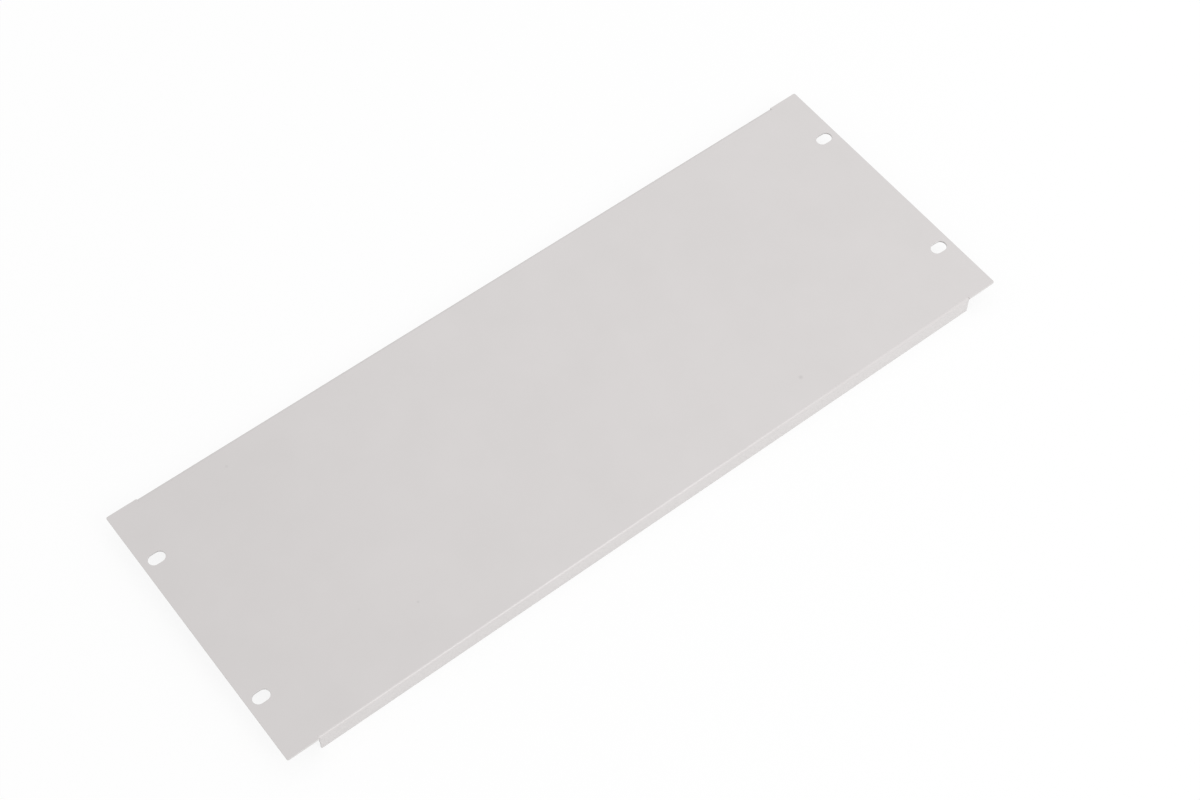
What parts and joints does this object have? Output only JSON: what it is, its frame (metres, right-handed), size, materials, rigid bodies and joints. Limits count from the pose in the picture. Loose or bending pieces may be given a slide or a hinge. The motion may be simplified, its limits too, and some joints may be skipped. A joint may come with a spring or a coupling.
{
  "type": "rack blanking panel",
  "caption": "Plain sheet-steel panel that closes unused space in a 19-inch rack, with a stiffening lip folded back along its top and bottom edges and screw slots in its flat ears.",
  "frame": {"origin": "under the panel's centre, in the plane that its two lips rest on when it lies face up", "axes": "+X across the rack along the panel's long side, +Y up the rack, +Z out of the front face"},
  "size_m": [0.4826, 0.177, 0.012],
  "materials": {
    "light_grey_paint": "semi-matt light-grey powder coat on steel, all over"
  },
  "bodies": {
    "root": {"blanking_panel": "light_grey_paint"}
  },
  "joints": []
}
